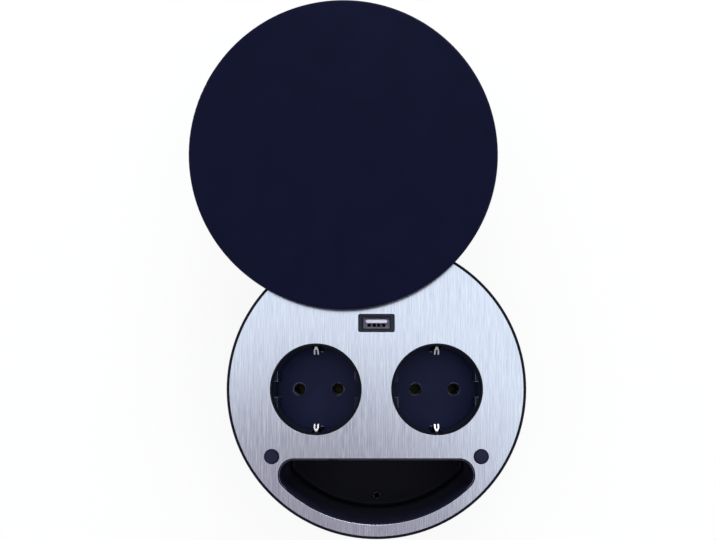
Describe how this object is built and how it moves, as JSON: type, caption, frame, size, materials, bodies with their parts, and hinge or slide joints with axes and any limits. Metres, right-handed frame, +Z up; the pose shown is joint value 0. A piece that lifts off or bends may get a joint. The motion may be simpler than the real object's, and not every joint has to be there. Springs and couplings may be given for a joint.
{
  "type": "desk power unit",
  "caption": "Flush round desk power unit with earthed sockets, a USB charging port and a cable tray in a brushed plate under a swivel lid, clamped into a worktop cut-out.",
  "frame": {"origin": "centre of the round cut-out, on the worktop's surface under the collar", "axes": "+Z up out of the worktop, +Y from the cable tray toward the lid's pivot, +X to the right"},
  "size_m": [0.1584, 0.2522, 0.068],
  "materials": {
    "black_plastic": "satin moulded black plastic",
    "lid_plastic": "plain satin navy-black",
    "brushed_plate": "brushed along Y",
    "clip_steel": "bright nickel",
    "contact_brass": "plain",
    "zinc_screw": "zinc plated",
    "dark_screw": "black",
    "shaft_steel": "turned",
    "bush_plastic": "natural acetal",
    "terminal_plastic": "natural nylon",
    "wire_brown": "insulated",
    "wire_blue": "insulated",
    "wire_green": "insulated",
    "usb_steel": "plain",
    "usb_white": "white tongue",
    "usb_contact": "dark in the shade of the tongue",
    "board_green": "solder mask",
    "ferrite": "dark core",
    "can_sleeve": "sleeved can",
    "seal_rubber": "soft",
    "pad_rubber": "soft",
    "claw_zinc": "zinc casting"
  },
  "bodies": {
    "base": {"collar_frame": "black_plastic", "face_plate": "brushed_plate", "lower_housing": "black_plastic", "housing_screws": "zinc_screw", "cable_tray": "black_plastic", "tray_screw": "dark_screw", "socket_insert_left": "black_plastic", "socket_insert_right": "black_plastic", "insert_screws": "zinc_screw", "earth_clip_left": "clip_steel", "earth_clip_right": "clip_steel", "earth_link": "clip_steel", "busbar_line": "contact_brass", "busbar_neutral": "contact_brass", "contact_cover": "black_plastic", "contact_cover_screws": "zinc_screw", "terminal_block": "terminal_plastic", "terminal_screws": "zinc_screw", "wire_line": "wire_brown", "wire_neutral": "wire_blue", "wire_earth": "wire_green", "usb_lead_line": "wire_brown", "usb_lead_neutral": "wire_blue", "usb_bezel": "black_plastic", "usb_shell": "usb_steel", "usb_tongue": "usb_white", "usb_contacts": "usb_contact", "usb_board": "board_green", "usb_transformer": "ferrite", "usb_capacitors": "can_sleeve", "board_screws": "zinc_screw", "gland_body": "black_plastic", "gland_locknut": "black_plastic", "gland_seal": "seal_rubber", "gland_dome_nut": "black_plastic", "rest_pad_left": "pad_rubber", "rest_pad_right": "pad_rubber", "pivot_bush": "bush_plastic"},
    "lid": {"lid_cover": "lid_plastic", "lid_underplate": "lid_plastic", "lid_pivot_shaft": "shaft_steel", "lid_screws": "zinc_screw", "pivot_stop_plate": "zinc_screw", "pivot_spring_washer": "zinc_screw", "pivot_screw": "zinc_screw"},
    "clamp_left_screw": {"clamp_screw_left": "zinc_screw"},
    "clamp_left_arm": {"clamp_arm_left": "claw_zinc"},
    "clamp_right_screw": {"clamp_screw_right": "zinc_screw"},
    "clamp_right_arm": {"clamp_arm_right": "claw_zinc"}
  },
  "joints": [
    {"name": "lid_swing", "type": "hinge", "parent": "base", "child": "lid", "pos_m": [0, 0.0557, 0.0045], "axis": [0, 0, 1], "range_deg": [-16.05, 163.95]},
    {"name": "clamp_left_swing", "type": "hinge", "parent": "base", "child": "clamp_left_screw", "pos_m": [-0.0615, 0, -0.05], "axis": [0, 0, -1], "range_deg": [0, 90]},
    {"name": "clamp_left_climb", "type": "slide", "parent": "clamp_left_screw", "child": "clamp_left_arm", "axis": [0, 0, 1], "range_m": [0, 0.03]},
    {"name": "clamp_right_swing", "type": "hinge", "parent": "base", "child": "clamp_right_screw", "pos_m": [0.0615, 0, -0.05], "axis": [0, 0, -1], "range_deg": [0, 90]},
    {"name": "clamp_right_climb", "type": "slide", "parent": "clamp_right_screw", "child": "clamp_right_arm", "axis": [0, 0, 1], "range_m": [0, 0.03]}
  ]
}
